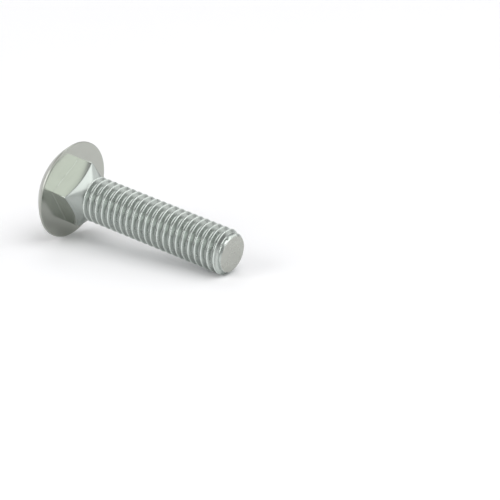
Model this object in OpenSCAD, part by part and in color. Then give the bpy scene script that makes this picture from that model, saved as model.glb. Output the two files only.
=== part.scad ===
// Carriage bolt, 3/8-16 by 1-5/8 inch, lying as it comes to rest.
// Units are millimetres, +Z is up and the floor is z = 0.
// The bolt touches the floor with the rim of its head and with the end of its thread.
// The axis lies in the XZ plane, with the head at -X and the threaded end at +X.
// The origin is on the floor, under the middle of the bolt.

/* [Head] */
// Diameter of the head
head_diameter = 20.7; // [18:0.1:24]
// Height of the head, from its flat underside to the crown
head_height = 5.3; // [4.2:0.1:6.5]
// Thickness of the upright edge around the head
rim_thickness = 0.4; // [0.2:0.05:0.9]

/* [Square neck] */
// Width of the square across its flats
neck_width = 9.9; // [9.6:0.05:10.6]
// Depth of the square at its corners, from the underside of the head
neck_depth = 3.3; // [2.4:0.1:4.4]
// How much further the flats reach in their middle than at the corners
flat_bulge = 0.75; // [0.4:0.05:1.1]
// Length of the taper, from the corners of the square to the thread
taper_length = 2.5; // [2.2:0.1:4]

/* [Shank and thread] */
// Length of the bolt, from the underside of the head to the end
bolt_length = 41.3; // [20:0.1:50]
// Outer diameter of the thread
thread_diameter = 9.5; // [9:0.01:9.55]
// Advance of the thread in one turn
thread_pitch = 1.5875; // [1.25:0.0125:1.6]
// Length of the chamfer at the end
point_length = 1.1; // [0.7:0.05:1.6]
// Diameter of the flat face at the end
point_diameter = 7.7; // [6.4:0.1:8.2]

/* [Position] */
// Turn of the bolt about its own axis
roll_angle = 55; // [0:1:89]

/* [Hidden] */

// Round faces
$fn = 120;

head_radius = head_diameter / 2;
thread_radius = thread_diameter / 2;

// The dome is a part of a ball that meets the top of the rim
dome_height = head_height - rim_thickness;
ball_radius = (head_radius * head_radius + dome_height * dome_height) / (2 * dome_height);

// The four corners of the square, and the cone that gives the flats their curved ends
corner_radius = neck_width / sqrt(2);
end_slope = flat_bulge / (corner_radius - neck_width / 2);
taper_end = neck_depth + taper_length;
seat_thickness = 0.2;

// A sixty degree thread with a flat crest of an eighth of the pitch and a flat root of a quarter
sharp_height = thread_pitch * cos(30);
thread_depth = sharp_height * 5 / 8;
root_radius = thread_radius - thread_depth;
crest_flat = thread_pitch / 8;
root_flat = thread_pitch / 4;
flank_width = (thread_pitch - crest_flat - root_flat) / 2;
turn_steps = 40;
start_angle = 37;

// The taper ends just outside the crests, and the thread comes out of its flat end
taper_radius = thread_radius + 0.05;

// The helix starts inside the taper and is cut off past the end
helix_start = taper_end - 0.678 * thread_pitch;
helix_turns = ceil((bolt_length - helix_start) / thread_pitch) + 1;

// The bolt tilts until the rim and the end of the thread are both on the floor
lying_angle = atan((head_radius - thread_radius) / (bolt_length - point_length));
seat_height = head_radius * cos(lying_angle);
head_reach = ball_radius - (ball_radius - head_height) * cos(lying_angle);
end_reach = bolt_length * cos(lying_angle) + point_diameter / 2 * sin(lying_angle);
seat_offset = (head_reach - end_reach) / 2;

// Round domed head with a flat underside at z = 0
module head() {
    intersection() {
        cylinder(h = head_height, r = head_radius);
        translate([0, 0, head_height - ball_radius])
            sphere(r = ball_radius);
    }
}

// Square block whose end is cut by a shallow cone, so that each flat ends in an arc
module square_block() {
    cone_height = corner_radius * end_slope;
    intersection() {
        translate([-neck_width / 2, -neck_width / 2, -taper_end])
            cube([neck_width, neck_width, taper_end + seat_thickness]);
        translate([0, 0, -neck_depth - cone_height])
            cylinder(h = cone_height, r1 = 0, r2 = corner_radius);
    }
}

// Square neck under the head, drawn down to the round shank
module neck() {
    translate([-neck_width / 2, -neck_width / 2, -neck_depth])
        cube([neck_width, neck_width, neck_depth + seat_thickness]);
    hull() {
        square_block();
        translate([0, 0, -taper_end])
            cylinder(h = seat_thickness, r = taper_radius);
    }
}

// One pitch of the thread outline as [distance along the axis, radius]
thread_outline = [
    [0, root_radius],
    [root_flat, root_radius],
    [root_flat + flank_width, thread_radius],
    [root_flat + flank_width + crest_flat, thread_radius]
];
outline_count = len(thread_outline);
row_count = helix_turns * outline_count;

// A point of the helix, for one step round the axis and one row of the outline
function helix_point(step, row) =
    let (
        turn = floor(row / outline_count),
        corner = thread_outline[row % outline_count],
        angle = start_angle - 360 * step / turn_steps,
        along = helix_start + (turn + step / turn_steps) * thread_pitch + corner[0]
    )
    [corner[1] * cos(angle), corner[1] * sin(angle), -along];

// Number of a point in the list, where a full turn leads on to the next pitch
function helix_index(step, row) =
    step < turn_steps
        ? step * row_count + row
        : row + outline_count;

// The ribbed rod before it is cut to length
module helix_rod() {
    points = [
        for (step = [0 : turn_steps - 1])
            for (row = [0 : row_count - 1])
                helix_point(step, row),
        [0, 0, -helix_start],
        [0, 0, -helix_start - helix_turns * thread_pitch]
    ];
    near_centre = turn_steps * row_count;
    far_centre = near_centre + 1;
    sides = [
        for (step = [0 : turn_steps - 1])
            let (last = step < turn_steps - 1 ? row_count - 2 : row_count - 2 - outline_count)
            for (row = [0 : last])
                for (half = [0, 1])
                    half == 0
                        ? [helix_index(step, row), helix_index(step, row + 1), helix_index(step + 1, row + 1)]
                        : [helix_index(step, row), helix_index(step + 1, row + 1), helix_index(step + 1, row)]
    ];
    near_cap = [
        for (step = [0 : turn_steps - 1])
            [near_centre, helix_index(step, 0), helix_index(step + 1, 0)],
        for (row = [0 : outline_count - 1])
            [near_centre, helix_index(0, row + 1), helix_index(0, row)]
    ];
    first_last = row_count - 1;
    far_cap = [
        for (step = [0 : turn_steps - 2])
            [far_centre, helix_index(step + 1, first_last), helix_index(step, first_last)],
        [far_centre, helix_index(0, first_last), helix_index(turn_steps - 1, first_last - outline_count)],
        for (row = [first_last - outline_count : first_last - 1])
            [far_centre, helix_index(turn_steps - 1, row), helix_index(turn_steps - 1, row + 1)]
    ];
    polyhedron(points = points, faces = concat(sides, near_cap, far_cap));
}

// Threaded shank with a chamfered point
module threaded_shank() {
    intersection() {
        helix_rod();
        translate([0, 0, -bolt_length])
            union() {
                cylinder(h = point_length, r1 = point_diameter / 2, r2 = thread_radius);
                translate([0, 0, point_length])
                    cylinder(h = bolt_length, r = thread_radius + 1);
            }
    }
}

// The whole bolt, tilted onto the floor
module carriage_bolt() {
    color("lightsteelblue")
        translate([seat_offset, 0, seat_height])
            rotate([0, lying_angle - 90, 0])
                rotate([0, 0, roll_angle])
                    union() {
                        head();
                        neck();
                        threaded_shank();
                    }
}

carriage_bolt();
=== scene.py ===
# %% [markdown]
# # A zinc-plated carriage bolt
#
# A carriage bolt holds timber to timber. It has a low domed head with nothing to grip, a square
# neck that bites into the wood so that the bolt can't turn, and a coarse thread for a nut.
#
# This lesson loads the measured model of the bolt as a fixed frame. The frame could be given a
# finish as it is, but its thread and dome are made of small flats, which bright metal would show.
# So a finer bolt is built in the same place, and the box round it has to match the frame's.

import math

import bmesh
import bpy
from mathutils import Matrix, Vector


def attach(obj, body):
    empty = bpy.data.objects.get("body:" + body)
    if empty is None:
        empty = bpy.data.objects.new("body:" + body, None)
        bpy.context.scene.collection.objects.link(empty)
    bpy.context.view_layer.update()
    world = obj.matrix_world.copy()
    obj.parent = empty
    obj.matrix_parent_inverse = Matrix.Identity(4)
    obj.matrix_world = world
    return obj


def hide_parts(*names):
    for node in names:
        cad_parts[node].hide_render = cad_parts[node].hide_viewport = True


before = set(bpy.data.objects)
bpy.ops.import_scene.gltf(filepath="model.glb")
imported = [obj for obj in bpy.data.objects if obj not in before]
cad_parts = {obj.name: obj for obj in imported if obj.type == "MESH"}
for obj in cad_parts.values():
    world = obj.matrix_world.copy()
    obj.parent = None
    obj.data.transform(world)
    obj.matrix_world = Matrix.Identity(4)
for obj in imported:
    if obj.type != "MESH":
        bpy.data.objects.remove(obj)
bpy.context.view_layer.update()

# %% [markdown]
# ## The bolt's sizes
#
# These are the sizes of a 3/8-16 bolt, in metres. They could be read off the frame's mesh, but a
# maker states them from the underside of the head and checks them with a caliper, so they are
# written that way here. The rest is worked out from them.

# %% The bolt's sizes
MM = 0.001
HEAD_RADIUS = 10.35 * MM
HEAD_HEIGHT = 5.3 * MM
RIM_THICKNESS = 0.4 * MM
NECK_WIDTH = 9.9 * MM
NECK_DEPTH = 3.3 * MM
FLAT_BULGE = 0.75 * MM
TAPER_LENGTH = 2.5 * MM
BOLT_LENGTH = 41.3 * MM
THREAD_RADIUS = 4.75 * MM
PITCH = 1.5875 * MM
POINT_LENGTH = 1.1 * MM
POINT_RADIUS = 3.85 * MM
ROLL_DEGREES = 55

TAPER_END = NECK_DEPTH + TAPER_LENGTH
DOME_HEIGHT = HEAD_HEIGHT - RIM_THICKNESS
BALL_RADIUS = (HEAD_RADIUS**2 + DOME_HEIGHT**2) / (2 * DOME_HEIGHT)

# The flanks of the thread lean at half of sixty degrees, and it is 5/8 as deep as a sharp one
FLANK_LEAN = math.radians(30)
THREAD_DEPTH = PITCH * math.cos(FLANK_LEAN) * 5 / 8
ROOT_RADIUS = THREAD_RADIUS - THREAD_DEPTH
print("thread depth mm", round(THREAD_DEPTH / MM, 3), "ball radius mm", round(BALL_RADIUS / MM, 3))

# %% [markdown]
# ## How it lies
#
# Left on a floor, the bolt comes to rest on the rim of its head and on the end of its thread, so
# its axis dips a little. The pieces could be modelled at that slant, but sums are easier upright.
# Every piece is therefore built with the underside of the head at height zero, the dome above it
# and the shank hanging down, and one matrix lays the bolt down. It is applied to the meshes, so
# that each object stays at the origin.

# %% Lay the bolt down
lying_angle = math.atan2(HEAD_RADIUS - THREAD_RADIUS, BOLT_LENGTH - POINT_LENGTH)
head_reach = BALL_RADIUS - (BALL_RADIUS - HEAD_HEIGHT) * math.cos(lying_angle)
end_reach = BOLT_LENGTH * math.cos(lying_angle) + POINT_RADIUS * math.sin(lying_angle)
seat = Vector(((head_reach - end_reach) / 2, 0, HEAD_RADIUS * math.cos(lying_angle)))
lay_down = (
    Matrix.Translation(seat)
    @ Matrix.Rotation(lying_angle - math.pi / 2, 4, "Y")
    @ Matrix.Rotation(math.radians(ROLL_DEGREES), 4, "Z")
)
print("the axis dips", round(math.degrees(lying_angle), 2), "degrees")

# %% [markdown]
# ## Finishing a piece
#
# The three pieces end in the same steps, so one function does them. It merges doubled points,
# turns the faces outward and lays the piece down. Before that it notes each point's place on the
# upright bolt, in millimetres. The zinc needs it, because streaks and worn crests follow the axis
# of the bolt and not the floor. Shading could be smooth all over, but that would blur the edges
# of the neck, so an edge that turns by more than a limit stays sharp.

# %% Finish a piece
MERGE_DISTANCE = 0.002 * MM
SHARP_EDGE = math.radians(30)


def finish_piece(name, bm):
    """Turns a finished bmesh into a piece in its place."""
    bmesh.ops.remove_doubles(bm, verts=bm.verts, dist=MERGE_DISTANCE)
    bmesh.ops.recalc_face_normals(bm, faces=bm.faces)
    upright = bm.verts.layers.float_vector.new("upright_mm")
    for vert in bm.verts:
        vert[upright] = vert.co / MM
    bmesh.ops.transform(bm, matrix=lay_down, verts=bm.verts)
    for face in bm.faces:
        face.smooth = True
    for edge in bm.edges:
        edge.smooth = len(edge.link_faces) == 2 and edge.calc_face_angle() < SHARP_EDGE
    open_edges = sum(1 for edge in bm.edges if len(edge.link_faces) != 2)
    volume = bm.calc_volume() / MM**3
    mesh = bpy.data.meshes.new(name)
    bm.to_mesh(mesh)
    bm.free()
    piece = bpy.data.objects.new(name, mesh)
    bpy.context.collection.objects.link(piece)
    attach(piece, "root")
    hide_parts("carriage_bolt")
    print(f"{name}: {len(mesh.polygons)} faces, {open_edges} open edges, {volume:.1f} mm3")
    return piece


print("edges sharper than", round(math.degrees(SHARP_EDGE)), "degrees stay sharp")

# %% [markdown]
# ## The head
#
# The head is forged: a dome that is part of a ball, a small upright rim and a flat underside. It
# could be cut from a sphere, but it is round about its axis, so it is simpler to draw its outline
# once and spin it. The two edges of the rim are rounded, because forging and plating never leave
# a knife edge and a rounded one catches a fine line of light.

# %% The outline of the head
RIM_ROUNDING = 0.13 * MM
DOME_STEPS = 40
ROUNDING_STEPS = 4


def rounded_corner(centre, start, end):
    """Points on a small arc round a centre, from one angle to another, as (radius, height)."""
    angles = [start + (end - start) * i / ROUNDING_STEPS for i in range(ROUNDING_STEPS + 1)]
    return [
        (centre[0] + RIM_ROUNDING * math.cos(a), centre[1] + RIM_ROUNDING * math.sin(a))
        for a in angles
    ]


def head_outline():
    """Half of the head's section as (radius, height), from the crown to the underside."""
    ball_height = HEAD_HEIGHT - BALL_RADIUS
    corner_radius = HEAD_RADIUS - RIM_ROUNDING
    # The upper rounding touches both the ball and the rim
    inner_ball = BALL_RADIUS - RIM_ROUNDING
    corner_height = ball_height + math.sqrt(inner_ball**2 - corner_radius**2)
    touch = math.atan2(corner_height - ball_height, corner_radius)
    points = [(0.0, HEAD_HEIGHT)]
    for i in range(1, DOME_STEPS):
        a = math.pi / 2 + (touch - math.pi / 2) * i / DOME_STEPS
        points.append((BALL_RADIUS * math.cos(a), ball_height + BALL_RADIUS * math.sin(a)))
    points += rounded_corner((corner_radius, corner_height), touch, 0.0)
    points += rounded_corner((corner_radius, RIM_ROUNDING), 0.0, -math.pi / 2)
    points.append((corner_radius - RIM_ROUNDING, 0.0))
    points.append((0.0, 0.0))
    return points


print("the head's outline has", len(head_outline()), "points")

# %% Spin the head
HEAD_TURN_STEPS = 160
UNDERSIDE_LIMIT = 0.001 * MM

head_mesh = bmesh.new()
section = [head_mesh.verts.new((radius, 0, height)) for radius, height in head_outline()]
section_edges = [head_mesh.edges.new(pair) for pair in zip(section, section[1:])]
bmesh.ops.spin(
    head_mesh,
    geom=section + section_edges,
    cent=(0, 0, 0),
    axis=(0, 0, 1),
    angle=2 * math.pi,
    steps=HEAD_TURN_STEPS,
    use_merge=True,
)
# The second material is for the underside
for face in head_mesh.faces:
    face.material_index = 1 if face.calc_center_median().z < UNDERSIDE_LIMIT else 0
head = finish_piece("bolt_head", head_mesh)

# %% [markdown]
# ## The square neck
#
# The neck is a square block that is drawn down to the round shank. Each flat ends in a shallow
# arc, and from there the metal closes in to a circle in a slightly hollow sweep. A cube cut by a
# cone would give the arcs, but no sweep. So the neck starts as one ring of points inside the
# head, which is extruded down the bolt a little at a time. At each level its points move to that
# level's form: a square, then a square with ever rounder corners, then a circle.

# %% One ring of the neck
CORNER_REACH = NECK_WIDTH / math.sqrt(2)
ROUND = 2


def arc_height(direction):
    """Where the flats end, for a direction round the axis: lowest in the middle of each flat."""
    square = NECK_WIDTH / 2 / max(abs(direction.x), abs(direction.y))
    inward = (CORNER_REACH - square) / (CORNER_REACH - NECK_WIDTH / 2)
    return -NECK_DEPTH - FLAT_BULGE * inward


def place_ring(verts, middle, sharpness, height):
    """Gives a ring the form of a square with rounded corners. A sharpness of 2 is a circle."""
    for vert in verts:
        direction = vert.co.xy.normalized()
        spread = abs(direction.x) ** sharpness + abs(direction.y) ** sharpness
        vert.co.xy = direction * middle / spread ** (1 / sharpness)
        vert.co.z = height(direction)


print("corners of the square reach", round(CORNER_REACH / MM, 2), "mm from the axis")

# %% The levels of the flats
CORNER_SHARPNESS = 70.0
EDGE_ROUNDING = 0.07 * MM
FILLET = 0.03 * MM
FILLET_STEPS = 3


def fillet_level(share):
    """A level of the small fillet under the head, from 0 at the head to 1 on the flats."""
    angle = share * math.pi / 2
    drop = -FILLET * (1 - math.cos(angle))
    return NECK_WIDTH / 2 + FILLET * (1 - math.sin(angle)), CORNER_SHARPNESS, lambda d: drop


def flat_level(gap):
    """A level on the flats, a gap above their curved ends."""
    return NECK_WIDTH / 2, CORNER_SHARPNESS, lambda d: arc_height(d) + gap


flat_levels = [fillet_level(i / FILLET_STEPS) for i in range(FILLET_STEPS + 1)]
# A level close under the fillet keeps its shading off the flats
flat_levels.append((NECK_WIDTH / 2, CORNER_SHARPNESS, lambda d: -3 * FILLET))
flat_levels.append(flat_level(2 * EDGE_ROUNDING))
flat_levels.append(flat_level(EDGE_ROUNDING))
print("levels of the flats:", len(flat_levels))

# %% The levels of the taper
TAPER_STEPS = 16
TAPER_CROWDING = 1.5
TAPER_HOLLOW = 1.3
EDGE_DRAW_IN = EDGE_ROUNDING / 6
SHANK_RADIUS = ROOT_RADIUS + 0.33 * MM
INNER_END_RADIUS = ROOT_RADIUS * 0.9
INNER_END_DEPTH = SHANK_RADIUS / 5


def taper_level(share):
    """A level of the taper, from 0 at the curved ends of the flats to 1 at the round shank."""
    left = (1 - share) ** TAPER_HOLLOW
    middle = SHANK_RADIUS + (NECK_WIDTH / 2 - SHANK_RADIUS) * left
    # The corners round off evenly: this is how far they reach, as a share of a true square's
    corner_share = 1 - (1 - math.sqrt(0.5)) * share
    sharpness = min(CORNER_SHARPNESS, -1 / math.log2(corner_share))
    return middle, sharpness, lambda d: arc_height(d) * (1 - share) - TAPER_END * share


taper_levels = [(NECK_WIDTH / 2 - EDGE_DRAW_IN, CORNER_SHARPNESS, arc_height)]
for step in range(1, TAPER_STEPS + 1):
    # The levels crowd towards the edge of the flats, where the form changes fastest
    taper_levels.append(taper_level((step / TAPER_STEPS) ** TAPER_CROWDING))
# The last level closes in under the first ridges of the thread, where it isn't seen
taper_levels.append((INNER_END_RADIUS, ROUND, lambda d: -TAPER_END - INNER_END_DEPTH))
print("levels of the taper:", len(taper_levels))

# %% Draw the neck down
NECK_TURN_STEPS = 384
NECK_OVERLAP = 0.2 * MM

neck_mesh = bmesh.new()
first = bmesh.ops.create_circle(neck_mesh, segments=NECK_TURN_STEPS, radius=NECK_WIDTH)["verts"]
place_ring(first, NECK_WIDTH / 2 + FILLET, CORNER_SHARPNESS, lambda d: NECK_OVERLAP)
ring_edges = neck_mesh.edges[:]
bmesh.ops.contextual_create(neck_mesh, geom=ring_edges)
# The first material is for the flats and the second for the taper
for material_index, levels in enumerate((flat_levels, taper_levels)):
    for level in levels:
        geom = bmesh.ops.extrude_edge_only(neck_mesh, edges=ring_edges)["geom"]
        ring_edges = [e for e in geom if isinstance(e, bmesh.types.BMEdge)]
        place_ring([e for e in geom if isinstance(e, bmesh.types.BMVert)], *level)
        for face in geom:
            if isinstance(face, bmesh.types.BMFace):
                face.material_index = material_index
bmesh.ops.contextual_create(neck_mesh, geom=ring_edges)
neck = finish_piece("square_neck", neck_mesh)

# %% [markdown]
# ## The thread
#
# A rolled thread is one groove that winds round the shank, with its crest and root rounded by the
# rolls. A stack of separate rings would look much the same from far off, but its ridges wouldn't
# climb, and the groove has to run out through the chamfer at the end. So the outline of one pitch
# is drawn once and spun with a small step along the axis, which makes a true screw, and the turn
# is repeated down the shank.

# %% The outline of one pitch
ROUND_STEPS = 4
CREST_FLAT = PITCH / 10
FLANK_WIDTH = THREAD_DEPTH * math.tan(FLANK_LEAN)
ROOT_FLAT = PITCH - CREST_FLAT - 2 * FLANK_WIDTH


def rounding(middle, level, bend, start, end, steps):
    """Points on an arc as (distance along the axis, radius). A negative bend curves inward."""
    angles = [start + (end - start) * i / steps for i in range(steps + 1)]
    return [(middle + bend * math.sin(a), level + bend * (1 - math.cos(a))) for a in angles]


def thread_outline():
    """One pitch of the thread: root, flank, crest, flank, root."""
    slope = math.atan2(THREAD_DEPTH, FLANK_WIDTH)
    root_bend = ROOT_FLAT / 2 / math.tan(slope / 2)
    crest_bend = CREST_FLAT / 2 / math.tan(slope / 2)
    root_middle = ROOT_FLAT / 2
    crest_middle = ROOT_FLAT + FLANK_WIDTH + CREST_FLAT / 2
    return (
        rounding(root_middle, ROOT_RADIUS, root_bend, 0, slope, ROUND_STEPS)
        + rounding(crest_middle, THREAD_RADIUS, -crest_bend, slope, -slope, 2 * ROUND_STEPS)
        + rounding(root_middle + PITCH, ROOT_RADIUS, root_bend, -slope, 0, ROUND_STEPS)
    )


print("one pitch has", len(thread_outline()), "points, root flat mm", round(ROOT_FLAT / MM, 3))

# %% Wind the rod
TURN_STEPS = 96
HELIX_LEAD = 0.678 * PITCH
HELIX_START = TAPER_END - HELIX_LEAD
HELIX_START_ANGLE = math.radians(37)
helix_turns = math.ceil((BOLT_LENGTH - HELIX_START) / PITCH) + 1

thread_mesh = bmesh.new()
outline = [
    thread_mesh.verts.new((radius, 0, PITCH - HELIX_START - along))
    for along, radius in thread_outline()
]
outline_edges = [thread_mesh.edges.new(pair) for pair in zip(outline, outline[1:])]
bmesh.ops.rotate(
    thread_mesh,
    cent=(0, 0, 0),
    matrix=Matrix.Rotation(HELIX_START_ANGLE, 3, "Z"),
    verts=outline,
)
bmesh.ops.spin(
    thread_mesh,
    geom=outline + outline_edges,
    cent=(0, 0, 0),
    axis=(0, 0, 1),
    dvec=(0, 0, -PITCH / TURN_STEPS),
    angle=-2 * math.pi,
    steps=TURN_STEPS,
    use_merge=False,
)
one_turn = thread_mesh.verts[:] + thread_mesh.edges[:] + thread_mesh.faces[:]
for turn in range(1, helix_turns + 1):
    copy = bmesh.ops.duplicate(thread_mesh, geom=one_turn)["geom"]
    moved = [e for e in copy if isinstance(e, bmesh.types.BMVert)]
    bmesh.ops.translate(thread_mesh, vec=(0, 0, -PITCH * turn), verts=moved)
bmesh.ops.remove_doubles(thread_mesh, verts=thread_mesh.verts, dist=MERGE_DISTANCE)
print("wound", helix_turns + 1, "turns with", len(thread_mesh.faces), "faces")

# %% [markdown]
# ## Both ends of the thread
#
# The rod is made too long and cut square, once inside the taper and once at the end of the bolt.
# At the end the real bolt is chamfered so that a nut starts easily, and at the neck the first
# ridge rises out of the taper. Both could be cut with a cone, but a boolean on a thread is slow
# and leaves slivers. Instead, every point that stands out too far is drawn in to the cone.

# %% Cut the rod to length
CUT_TOLERANCE = 0.0001 * MM
RUN_IN_LENGTH = 0.6 * MM


def cut_square(bm, height, keep_above):
    """Cuts the rod across at a height, throws one side away and closes the cut."""
    cut = bmesh.ops.bisect_plane(
        bm,
        geom=bm.verts[:] + bm.edges[:] + bm.faces[:],
        dist=CUT_TOLERANCE,
        plane_co=(0, 0, height),
        plane_no=(0, 0, 1),
        clear_outer=not keep_above,
        clear_inner=keep_above,
    )["geom_cut"]
    cut_edges = [e for e in cut if isinstance(e, bmesh.types.BMEdge)]
    faces = bmesh.ops.contextual_create(bm, geom=cut_edges)["faces"]
    print("closed the cut at", round(height / MM, 2), "mm with", len(faces), "face")
    return faces


cut_square(thread_mesh, RUN_IN_LENGTH - TAPER_END, keep_above=False)
# The second material is for the end face
for face in cut_square(thread_mesh, -BOLT_LENGTH, keep_above=True):
    face.material_index = 1

# %% Chamfer the end and let the first ridge rise
CHAMFER_SLOPE = (THREAD_RADIUS - POINT_RADIUS) / POINT_LENGTH
RUN_IN_SLOPE = 1.2

for vert in thread_mesh.verts:
    chamfer = POINT_RADIUS + (vert.co.z + BOLT_LENGTH) * CHAMFER_SLOPE
    run_in = THREAD_RADIUS - (vert.co.z + TAPER_END) * RUN_IN_SLOPE
    limit = min(chamfer, run_in)
    if vert.co.xy.length > limit:
        vert.co.xy *= limit / vert.co.xy.length
shank = finish_piece("threaded_shank", thread_mesh)

# %% [markdown]
# ## The camera
#
# The bolt is seen from the side of its threaded end and from a little above, with hardly any
# perspective, as a long lens shows small goods. A short lens close by would swell the nearer end.
# The camera's place and direction come from fitting the corners and edges of the real bolt, and
# not from moving it by eye.

# %% The camera
LENS = 222.79
SENSOR_WIDTH = 36
CAMERA_PLACE = Vector((0.36818, -0.4712, 0.2114))
LOOKING = Vector((-0.552877, 0.764049, -0.3325))

camera_data = bpy.data.cameras.new("camera")
camera_data.sensor_width = SENSOR_WIDTH
camera_data.lens = LENS
camera_data.clip_start = 0.01
camera_data.clip_end = 20
camera = bpy.data.objects.new("camera", camera_data)
bpy.context.collection.objects.link(camera)
camera.location = CAMERA_PLACE
camera.rotation_euler = LOOKING.to_track_quat("-Z", "Y").to_euler()
bpy.context.scene.camera = camera
print("the camera is", round(CAMERA_PLACE.length, 2), "m away")

# %% [markdown]
# ## Small tools for materials
#
# A material is a set of nodes. They could be added and linked one by one, but then a sum of three
# terms takes a dozen lines. One small class wraps a node's output, so that such a sum is written
# as plain arithmetic, and every other node comes from one function.


# %% Shader expressions
class Value:
    """A node's output socket. Sums with it add Math nodes."""

    def __init__(self, tree, socket):
        self.tree = tree
        self.socket = socket

    def node(self, kind, settings=None, sockets=None, output=0):
        return add_node(self.tree, kind, settings, sockets, output)

    def math(self, operation, *values):
        return self.node("ShaderNodeMath", {"operation": operation}, dict(enumerate(values)))

    def __add__(self, other):
        return self.math("ADD", self, other)

    def __radd__(self, other):
        return self.math("ADD", other, self)

    def __sub__(self, other):
        return self.math("SUBTRACT", self, other)

    def __rsub__(self, other):
        return self.math("SUBTRACT", other, self)

    def __mul__(self, other):
        return self.math("MULTIPLY", self, other)

    def __rmul__(self, other):
        return self.math("MULTIPLY", other, self)


def add_node(tree, kind, settings=None, sockets=None, output=0):
    """Adds a node, makes its settings, then fills its sockets with values or links."""
    node = tree.nodes.new(kind)
    for key, value in (settings or {}).items():
        setattr(node, key, value)
    for key, value in (sockets or {}).items():
        if isinstance(value, Value):
            tree.links.new(value.socket, node.inputs[key])
        else:
            node.inputs[key].default_value = value
    return Value(tree, node.outputs[output])


def new_material(name):
    """A node material with its surface shader."""
    material = bpy.data.materials.new(name)
    material.use_nodes = True
    tree = material.node_tree
    surface = next(n for n in tree.nodes if n.type == "BSDF_PRINCIPLED")
    print("material", name)
    return material, tree, surface


print("sums in materials can use +, - and *")

# %% [markdown]
# ## The zinc plate
#
# Bright zinc is a thin silvery coat on the steel, with a trace of green and blue in it. It is a
# satin metal: its reflections are soft, and a little uneven from the rolling and the plating
# bath. A picture of zinc could be wrapped round the bolt, but it would stretch over the thread.
# Noise on the upright bolt has no seams. Slow clouds change the tone a little everywhere, and a
# finer grain changes the roughness and can be drawn out into streaks.

# %% The zinc plate
CLOUD_SCALE = 0.45
CLOUD_DEPTH = 0.10
CLOUD_ROUGHNESS = 0.05
GRAIN_ROUGHNESS = 0.10
GRAIN_HEIGHT = 0.002 * MM


def noise(place, scale, detail, roughness):
    """Noise round 0.5 at a place."""
    sockets = {"Vector": place, "Scale": scale, "Detail": detail, "Roughness": roughness}
    return place.node("ShaderNodeTexNoise", None, sockets)


def zinc(name, tint, tone, roughness, streaks=(1.0, 1.0, 1.0), streak_depth=0.0, bump=0.2, painted_light=None):
    """A zinc material. Streaks is how fast the grain changes along each axis of the upright bolt."""
    material, tree, surface = new_material(name)
    upright = add_node(tree, "ShaderNodeAttribute", {"attribute_name": "upright_mm"}, output=1)
    drawn = upright.node(
        "ShaderNodeMapping", {"vector_type": "POINT"}, {"Vector": upright, "Scale": streaks}
    )
    grain = noise(drawn, scale=1.0, detail=4.0, roughness=0.6)
    clouds = noise(upright, scale=CLOUD_SCALE, detail=3.0, roughness=0.5)
    level = tone * (1.0 + (clouds - 0.5) * CLOUD_DEPTH + (grain - 0.5) * streak_depth)
    # The optional mask adds a painted highlight and painted shade to the zinc's colour
    if painted_light is not None:
        level = level + painted_light(upright)
    colour = level.node("ShaderNodeVectorMath", {"operation": "SCALE"}, {0: tint, 3: level})
    rough = roughness + (grain - 0.5) * GRAIN_ROUGHNESS + (clouds - 0.5) * CLOUD_ROUGHNESS
    relief = grain.node(
        "ShaderNodeBump", None, {"Height": grain, "Strength": bump, "Distance": GRAIN_HEIGHT}
    )
    tree.links.new(colour.socket, surface.inputs["Base Color"])
    tree.links.new(rough.socket, surface.inputs["Roughness"])
    tree.links.new(relief.socket, surface.inputs["Normal"])
    surface.inputs["Metallic"].default_value = 1.0
    return material


print("the clouds are about", round(1 / CLOUD_SCALE, 1), "mm across")

# %% [markdown]
# ## Painted highlights on the crests and painted shade in the roots
#
# The crests of the thread and the chamfer get a painted highlight: their zinc is brighter, so they
# show thin bright lines. The roots get painted shade: their zinc is darker, so the grooves look
# deep. This could be painted by hand, but a thread has thousands of faces. The distance from the
# axis tells crest, flank and root apart, so it gives the masks.

# %% Painted crest highlights and root shade
CREST_PAINTED_HIGHLIGHT = 0.58
CHAMFER_PAINTED_HIGHLIGHT = 0.29
ROOT_PAINTED_SHADE = 0.145


def between(value, low, high):
    """Goes smoothly from 0 to 1 while a value goes from low to high."""
    return value.node(
        "ShaderNodeMapRange",
        {"interpolation_type": "SMOOTHSTEP"},
        {0: value, 1: low, 2: high, 3: 0.0, 4: 1.0},
    )


def thread_painted_highlight_and_shade(upright):
    """Painted highlight on the crests and the chamfer, less the painted shade in the roots."""
    x, y, z = (
        upright.node("ShaderNodeSeparateXYZ", None, {0: upright}, output=axis) for axis in range(3)
    )
    radius = x.math("SQRT", x * x + y * y)
    crest_radius = THREAD_RADIUS / MM
    root_radius = ROOT_RADIUS / MM
    point_radius = POINT_RADIUS / MM
    chamfer_start = (BOLT_LENGTH - POINT_LENGTH) / MM
    # Each mask blends in over one or two tenths of a millimetre
    crest = between(radius, crest_radius - 0.25, crest_radius - 0.05)
    past_start = between(0.0 - z, chamfer_start - 0.05, chamfer_start + 0.15)
    chamfer = past_start * between(radius, point_radius - 0.10, point_radius)
    root = 1.0 - between(radius, root_radius + 0.01, root_radius + 0.15)
    # Painted highlight: brighter zinc on the crests and the chamfer; painted shade: darker zinc in
    # the roots
    painted_highlight = crest.math("MAXIMUM", crest * CREST_PAINTED_HIGHLIGHT, chamfer * CHAMFER_PAINTED_HIGHLIGHT)
    return painted_highlight - root * ROOT_PAINTED_SHADE


print("crests gain", CREST_PAINTED_HIGHLIGHT, "chamfer gains", CHAMFER_PAINTED_HIGHLIGHT, "roots lose", ROOT_PAINTED_SHADE)

# %% [markdown]
# ## The six finishes
#
# One zinc for the whole bolt would look cast. On the real one every surface was made in its own
# way: the dome is satin, the underside is flatter and shinier, the flats show fine lines from the
# die, and the taper and the thread look a little cooler. So each surface gets its own tint, tone
# and roughness, and they share only the way the zinc is made.

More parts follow.
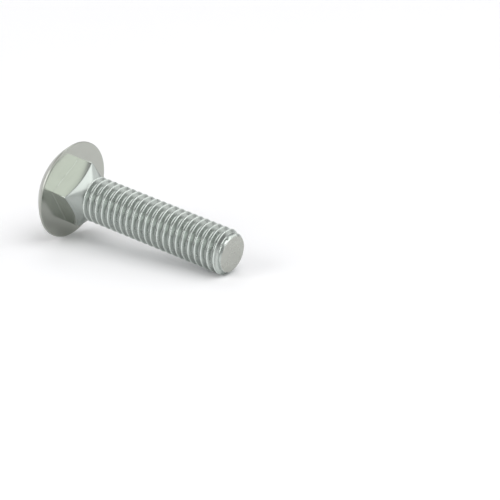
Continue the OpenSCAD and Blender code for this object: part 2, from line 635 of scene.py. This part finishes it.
# %% The six finishes
ZINC = (0.515, 0.55, 0.51)
WARM_ZINC = (0.53, 0.545, 0.50)
COOL_ZINC = (0.505, 0.545, 0.516)
EVEN_GRAIN = (2.0, 2.0, 2.0)
LINES_ROUND_THE_AXIS = (0.25, 0.25, 5.0)

finishes = {
    head: (
        zinc("zinc_dome", WARM_ZINC, tone=0.80, roughness=0.34, streaks=EVEN_GRAIN),
        zinc("zinc_underside", WARM_ZINC, tone=0.86, roughness=0.20, streaks=EVEN_GRAIN),
    ),
    neck: (
        zinc("zinc_flats", ZINC, 1.12, 0.22, streaks=LINES_ROUND_THE_AXIS, streak_depth=0.12),
        zinc("zinc_taper", COOL_ZINC, tone=0.80, roughness=0.32),
    ),
    shank: (
        # The thread's colour carries a painted highlight on its crests and chamfer and painted shade
        # in its roots
        zinc("zinc_thread", COOL_ZINC, tone=0.78, roughness=0.28, bump=0.04, painted_light=thread_painted_highlight_and_shade),
        zinc("zinc_end", WARM_ZINC, tone=0.84, roughness=0.28),
    ),
}
for piece, materials in finishes.items():
    for material in materials:
        piece.data.materials.append(material)
    print(piece.name, "has", len(piece.data.materials), "finishes")

# %% [markdown]
# ## The floor and the backdrop
#
# The bolt lies on a plain white floor, with a white sheet standing behind it, as in a product
# studio. More light on the scene would make the floor white too, but it would bleach the metal.
# So the floor is white by its own colour, under lamps that light it to just about full white, and
# it takes the bolt's shadow. A trace of glow is added for the camera and for reflections only. It
# lights nothing, and it is the place to whiten the background without touching the lamps.

# %% The floor
WHITE = (0.92, 0.92, 0.93, 1)
FLOOR_GLOW = 0.01
FLOOR_HALF_WIDTH = 3
CAMERA_RAY, GLOSSY_RAY, TRANSMISSION_RAY = 0, 3, 6


def white_sheet(name, half_width):
    """A flat square sheet of the studio."""
    bm = bmesh.new()
    bmesh.ops.create_grid(bm, x_segments=1, y_segments=1, size=half_width)
    mesh = bpy.data.meshes.new(name)
    bm.to_mesh(mesh)
    bm.free()
    sheet = bpy.data.objects.new(name, mesh)
    bpy.context.collection.objects.link(sheet)
    print(name, "is", 2 * half_width, "m wide")
    return sheet


floor = white_sheet("floor", FLOOR_HALF_WIDTH)
floor_material, floor_tree, floor_surface = new_material("white_floor")
floor_surface.inputs["Base Color"].default_value = WHITE
floor_surface.inputs["Roughness"].default_value = 0.8
floor_surface.inputs["Specular IOR Level"].default_value = 0.0
seen, mirrored, through = (
    add_node(floor_tree, "ShaderNodeLightPath", output=ray)
    for ray in (CAMERA_RAY, GLOSSY_RAY, TRANSMISSION_RAY)
)
glow = seen.math("MINIMUM", seen + mirrored + through, 1.0)
glow_colour = glow.node(
    "ShaderNodeMix",
    {"data_type": "RGBA"},
    {0: glow, 6: (0, 0, 0, 1), 7: (FLOOR_GLOW, FLOOR_GLOW, FLOOR_GLOW, 1)},
    output=2,
)
floor_tree.links.new(glow_colour.socket, floor_surface.inputs["Emission Color"])
floor_surface.inputs["Emission Strength"].default_value = 1.0
floor.data.materials.append(floor_material)

# %% The backdrop
BACKDROP_HALF_WIDTH = 1.5
BACKDROP_PLACE = Vector((-0.83, 1.15, 0.0))

backdrop = white_sheet("backdrop", BACKDROP_HALF_WIDTH)
backdrop.location = BACKDROP_PLACE
backdrop.rotation_euler = (-BACKDROP_PLACE).to_track_quat("Z", "Y").to_euler()
backdrop_material, _, backdrop_surface = new_material("white_backdrop")
backdrop_surface.inputs["Base Color"].default_value = WHITE
backdrop_surface.inputs["Roughness"].default_value = 0.9
backdrop.data.materials.append(backdrop_material)

# %% [markdown]
# ## The light
#
# Metal shows what stands round it more than its own colour, so the lamps are chosen for what each
# part of the bolt reflects. One big lamp overhead would give the shadow, but flat grey metal. The
# key box, above and to the right, lights the flats by way of the underside of the head. The front
# box draws the bright lines down the crests in the middle of the thread, and the two at the back
# draw those along its top. The others fill in. All are wide, which keeps the shadow pale and
# soft, and the world is dark enough for the grooves to stay deep.

# %% The world
WORLD_GREY = 0.30

world = bpy.data.worlds.new("studio")
bpy.context.scene.world = world
world.use_nodes = True
background = next(n for n in world.node_tree.nodes if n.type == "BACKGROUND")
background.inputs["Color"].default_value = (WORLD_GREY, WORLD_GREY, WORLD_GREY, 1)
background.inputs["Strength"].default_value = 1.0
print("the world is", WORLD_GREY, "grey")


# %% The lamps
def soft_box(name, place, size, brightness):
    """A square lamp that faces the bolt. Brightness is how bright it looks, where 1 is white."""
    data = bpy.data.lights.new(name, "AREA")
    data.shape = "SQUARE"
    data.size = size
    data.energy = brightness * math.pi * size**2
    lamp = bpy.data.objects.new(name, data)
    bpy.context.collection.objects.link(lamp)
    lamp.location = place
    lamp.rotation_euler = (-Vector(place)).to_track_quat("-Z", "Y").to_euler()
    print(name, "is", size, "m wide with", round(data.energy, 2), "W")


soft_box("key_box", (0.46, 0.0, 0.88), size=1.0, brightness=1.9)
soft_box("right_box", (0.85, -0.40, 0.30), size=0.5, brightness=0.8)
soft_box("front_box", (-0.45, -0.85, 0.5), size=0.75, brightness=2.6)
soft_box("front_high_box", (-0.35, -0.6, 0.85), size=0.7, brightness=0.45)
soft_box("back_high_box", (-0.475, 0.55, 0.955), size=0.6, brightness=1.4)
soft_box("back_right_box", (0.5, 0.9, 0.5), size=0.8, brightness=1.1)
soft_box("left_box", (-0.95, 0.4, 0.4), size=0.7, brightness=0.7)

# %% [markdown]
# ## The view
#
# The standard view shows each colour about as it is written.

# %% View settings
bpy.context.scene.view_settings.view_transform = "Standard"
